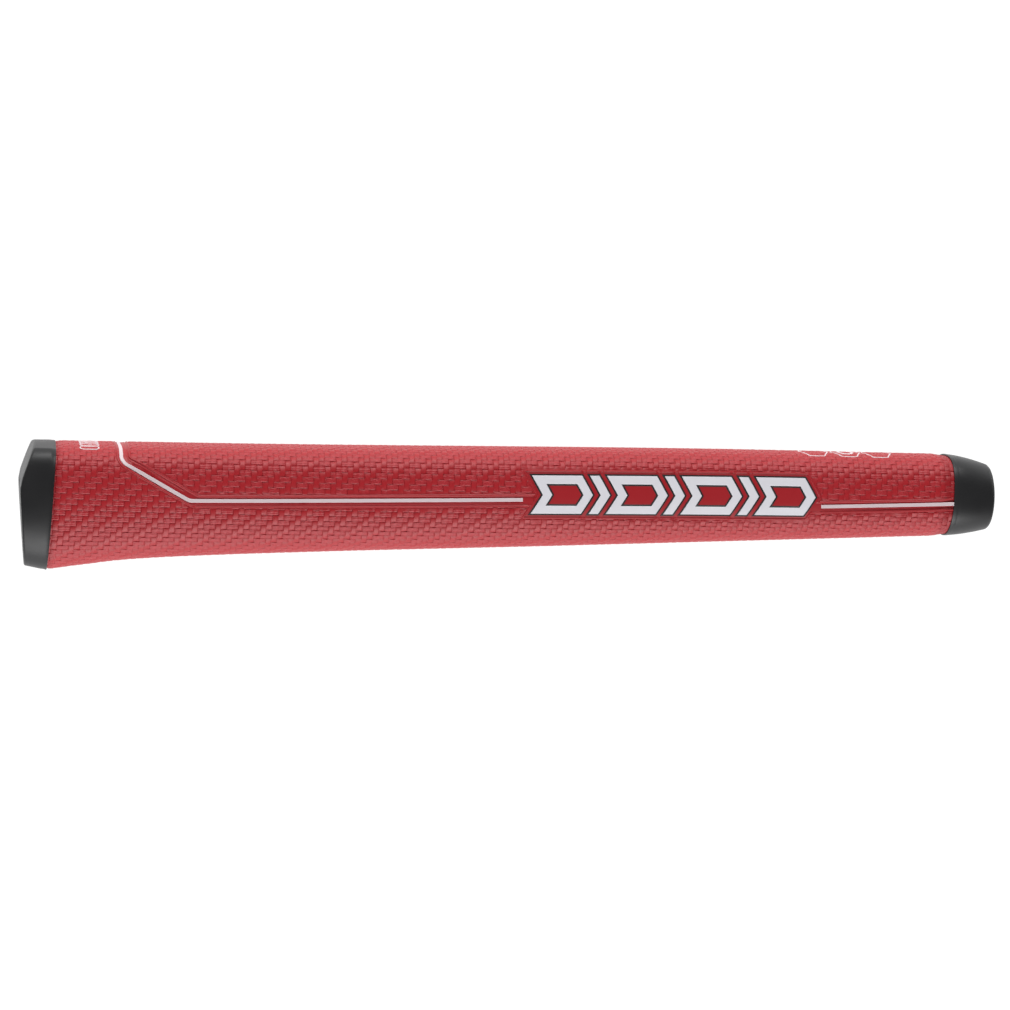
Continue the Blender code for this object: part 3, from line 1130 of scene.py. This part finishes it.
def red_skin():
    """Polyurethane: fibre lines along each float, a fine leathery grain, painted shade in the weave's
    hollows and on the pads, and a painted sheen on the floats that run along the grip.
    """
    look = Nodes("red polyurethane")
    cells = look.add("SeparateXYZ")
    look.feed(cells.inputs[0], look.add("Attribute", attribute_name="weave").outputs["Vector"])
    a, b, woven = cells.outputs
    phase = look.math("FLOORED_MODULO", look.math("ADD", look.math("FLOOR", a), look.math("FLOOR", b)), 4.0)
    along_grip = look.math("LESS_THAN", phase, 2.0)
    round_grip = look.math("SUBTRACT", 1.0, along_grip)
    lines_along = look.math("MULTIPLY", waves(look, b), along_grip)
    lines_round = look.math("MULTIPLY", waves(look, a), round_grip)
    lines = look.math("ADD", lines_along, look.math("MULTIPLY", lines_round, ROUND_FIBRE_SHARE))
    grain = look.noise(scale=5200.0, detail=4.0, roughness=0.6)
    fibre_height = look.math("MULTIPLY", look.math("MULTIPLY", lines, woven), FIBRE_SHARE)
    height = look.math("ADD", fibre_height, look.math("MULTIPLY", grain, GRAIN_SHARE))
    look.bump(height, distance=0.03 * MM)
    patches = look.between(look.noise(scale=60.0, detail=2.0), 0.3, 0.7, -0.25, 0.25)
    # Painted sheen: the floats that run along the grip are paler, as if their fibre lines caught the side
    # light. The noise patches are the skin's own uneven colour.
    painted_sheen = look.math("MULTIPLY", look.math("MULTIPLY", along_grip, woven), PAINTED_SHEEN_SHARE)
    lit = look.blend(look.math("ADD", painted_sheen, patches), SKIN_COLOUR, SKIN_PATCH_AND_SHEEN)
    # Painted shade: the colour darkens to the shade colour in the weave's grooves, and in part on the pads.
    unshaded = look.add("Attribute", attribute_name="unshaded").outputs["Fac"]
    look.set(Base_Color=look.blend(unshaded, SKIN_PAINTED_SHADE, lit))
    look.set(Roughness=look.between(grain, 0.3, 0.7, 0.44, 0.56))
    look.set(Specular_IOR_Level=0.42, Sheen_Weight=0.09, Sheen_Roughness=0.4)
    return look.material, "red_skin"


def waves(look, position):
    """Fibre lines across a cell position."""
    return look.math("SINE", look.math("MULTIPLY", position, 2 * math.pi * FIBRES))


def black_rubber():
    """Moulded rubber: a fine grain, with faint smudges in its colour and gloss."""
    look = Nodes("black rubber")
    smudges = look.noise(scale=90.0)
    look.set(Base_Color=look.blend(smudges, RUBBER_DARK, RUBBER_PALE))
    look.set(Roughness=look.between(smudges, 0.3, 0.7, 0.38, 0.47), Specular_IOR_Level=0.30)
    look.bump(look.noise(scale=3500.0, detail=5.0, roughness=0.65), distance=0.015 * MM, strength=0.6)
    return look.material, "black_rubber"


def darkened(colour, share):
    return tuple(c * share for c in colour[:3]) + (1,)


def ink(name, slot, colour, roughness):
    """Paint poured in a recess: even, with a faint orange-peel surface."""
    look = Nodes(name)
    peel = look.noise(scale=1400.0, detail=2.0)
    look.set(Base_Color=look.blend(look.noise(scale=300.0), darkened(colour, 0.93), colour))
    look.set(Roughness=look.between(peel, 0.3, 0.7, roughness - 0.05, roughness + 0.05))
    look.bump(peel, distance=0.02 * MM, strength=0.5)
    return look.material, slot


def porous(name, colour, scale, distance):
    """Foam or felt: a rough surface of small pores or fibres."""
    look = Nodes(name)
    pores = look.noise(scale, detail=6.0, roughness=0.7)
    look.set(Base_Color=look.blend(look.between(pores, 0.35, 0.65, 0.0, 1.0), darkened(colour, 0.55), colour))
    look.set(Roughness=0.93, Sheen_Weight=0.2)
    look.bump(pores, distance)
    return look.material


def cad_finishes():
    """The two inner layers keep their CAD shape and get finished materials."""
    foam = porous("moulded foam", FOAM_COLOUR, 2600.0, 0.12 * MM)
    felt = porous("pressed felt", FELT_COLOUR, 6000.0, 0.08 * MM)
    for node, material in (("core_sleeve", foam), ("felt_backing", felt)):
        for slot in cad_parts[node].material_slots:
            slot.material = material


# The studio


def camera():
    data = bpy.data.cameras.new("camera")
    data.lens, data.sensor_width = LENS, SENSOR
    made = new_object("camera", data)
    at = Vector(CAMERA_AT)
    ahead = (Vector(CAMERA_TO) - at).normalized()
    right = ahead.cross(Vector((0, 1, 0))).normalized()
    level = Matrix((right, right.cross(ahead), -ahead)).transposed()
    turned = level @ Matrix.Rotation(CAMERA_ROLL, 3, "Z")
    made.matrix_world = Matrix.Translation(at) @ turned.to_4x4()
    bpy.context.scene.camera = made


def softbox(name, at, watts):
    data = bpy.data.lights.new(name, "AREA")
    data.shape = "RECTANGLE"
    data.size, data.size_y = SOFTBOX_SIZE
    data.energy = watts
    away = Vector(at) - Vector(SOFTBOX_AIM)
    turned = away.to_track_quat("Z", "Y").to_matrix().to_4x4()
    new_object(name, data).matrix_world = Matrix.Translation(at) @ turned


def studio():
    mesh = bpy.data.meshes.new("floor")
    mesh.from_pydata([(x * FLOOR_HALF, y * FLOOR_HALF, 0) for x, y in SQUARE], [], [(0, 1, 2, 3)])
    floor = new_object("floor", mesh)
    look = Nodes("white floor")
    look.set(Base_Color=FLOOR_COLOUR, Roughness=0.9, Specular_IOR_Level=0.0)
    look.set(Emission_Color=(1, 1, 1, 1), Emission_Strength=FLOOR_GLOW)
    mesh.materials.append(look.material)
    floor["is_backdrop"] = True
    world = bpy.data.worlds.new("studio")
    world.use_nodes = True
    background = world.node_tree.nodes["Background"]
    background.inputs["Color"].default_value = (1, 1, 1, 1)
    background.inputs["Strength"].default_value = WORLD_LIGHT
    bpy.context.scene.world = world
    bpy.context.scene.view_settings.view_transform = "Standard"
    for name, at, watts in SOFTBOXES:
        softbox(name, at, watts)


pressed = pressed_skin()
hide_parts("pu_skin")
line_ink = ink("line ink", "white_ink", LINE_INK, 0.45)
painted_lines(line_ink)
emblem(ink("white ink", "white_ink", WHITE_INK, 0.45), ink("dark ink", "dark_ink", DARK_INK, 0.55))
marks(line_ink)
rubber = black_rubber()
butt_cap(rubber)
mouth_collar(rubber)
cad_finishes()
camera()
studio()

[[list(map(float, corner)) for corner in box] for box in (cad_box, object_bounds())]
